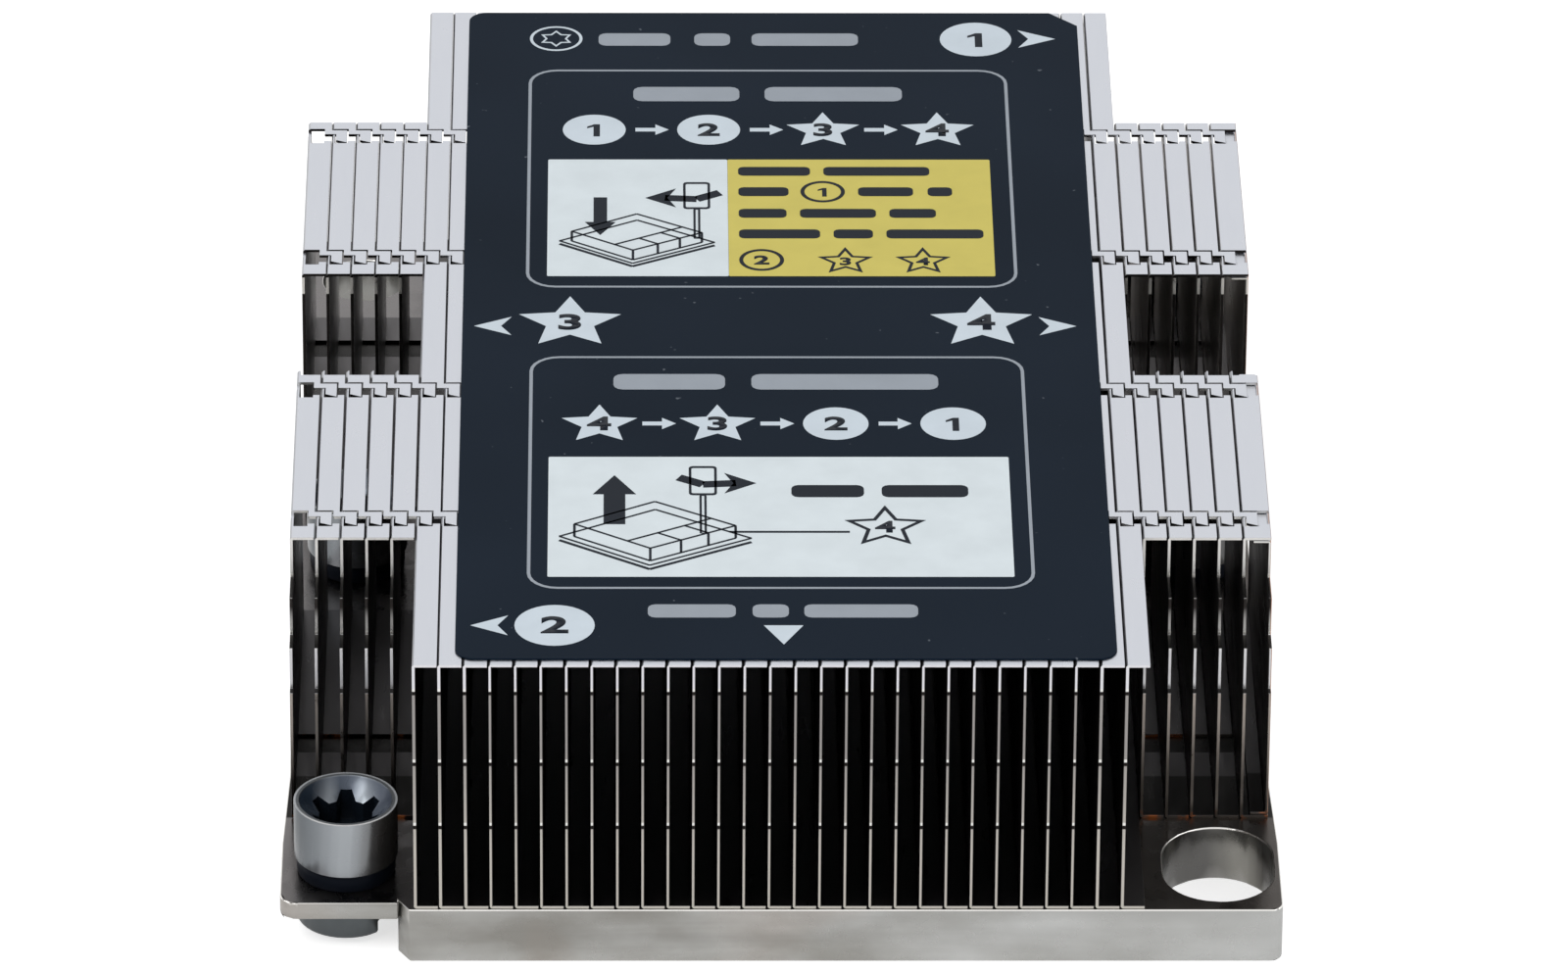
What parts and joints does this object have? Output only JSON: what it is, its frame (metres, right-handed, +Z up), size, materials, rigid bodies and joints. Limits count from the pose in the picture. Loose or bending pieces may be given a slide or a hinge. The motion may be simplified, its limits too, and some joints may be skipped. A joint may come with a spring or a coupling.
{
  "type": "passive server cpu heatsink",
  "caption": "Low-profile passive heatsink for a rack server processor: plated base plate, hooked folded fins and captive nuts.",
  "frame": {"origin": "centre of the base plate's underside, where it meets the processor", "axes": "+Z up, away from the processor; +Y along the air flow, from the front edge to the back edge; +X to the right seen from the front"},
  "size_m": [0.078, 0.108, 0.0269],
  "materials": {
    "base": "satin",
    "fins": "satin",
    "nuts": "polished",
    "collars": "matte",
    "retainers": "satin",
    "label": "satin"
  },
  "bodies": {
    "heatsink": {"base_plate": "base", "end_fin_front": "fins", "end_fin_rear": "fins", "fin_01_front": "fins", "fin_01_rear": "fins", "fin_02_front": "fins", "fin_02_rear": "fins", "fin_03_front": "fins", "fin_03_rear": "fins", "fin_04_front": "fins", "fin_04_rear": "fins", "fin_05_front": "fins", "fin_05_rear": "fins", "fin_06": "fins", "fin_07": "fins", "fin_08": "fins", "fin_09": "fins", "fin_10": "fins", "fin_11": "fins", "fin_12": "fins", "fin_13": "fins", "fin_14": "fins", "fin_15": "fins", "fin_16": "fins", "fin_17": "fins", "fin_18": "fins", "fin_19": "fins", "fin_20": "fins", "fin_21": "fins", "fin_22": "fins", "fin_23": "fins", "fin_24": "fins", "fin_25": "fins", "fin_26": "fins", "fin_27": "fins", "fin_28": "fins", "fin_29": "fins", "fin_30": "fins", "fin_31": "fins", "fin_32": "fins", "fin_33": "fins", "fin_34": "fins", "fin_35_front": "fins", "fin_35_rear": "fins", "fin_36_front": "fins", "fin_36_rear": "fins", "fin_37_front": "fins", "fin_37_rear": "fins", "fin_38_front": "fins", "fin_38_rear": "fins", "fin_39_front": "fins", "fin_39_rear": "fins", "label": "label", "nut_collars": "collars", "nut_retainers": "retainers"},
    "captive_nut_1": {"nut_1": "nuts"},
    "captive_nut_2": {"nut_2": "nuts"},
    "captive_nut_3": {"nut_3": "nuts"},
    "captive_nut_4": {"nut_4": "nuts"}
  },
  "joints": [
    {"name": "nut_1_turn", "type": "hinge", "parent": "heatsink", "child": "captive_nut_1", "pos_m": [0.0339, 0.0478, 0.0047], "axis": [0, 0, 1], "continuous": true},
    {"name": "nut_2_turn", "type": "hinge", "parent": "heatsink", "child": "captive_nut_2", "pos_m": [-0.0339, -0.0478, 0.0047], "axis": [0, 0, 1], "continuous": true},
    {"name": "nut_3_turn", "type": "hinge", "parent": "heatsink", "child": "captive_nut_3", "pos_m": [-0.0339, 0, 0.0047], "axis": [0, 0, 1], "continuous": true},
    {"name": "nut_4_turn", "type": "hinge", "parent": "heatsink", "child": "captive_nut_4", "pos_m": [0.0339, 0, 0.0047], "axis": [0, 0, 1], "continuous": true}
  ]
}
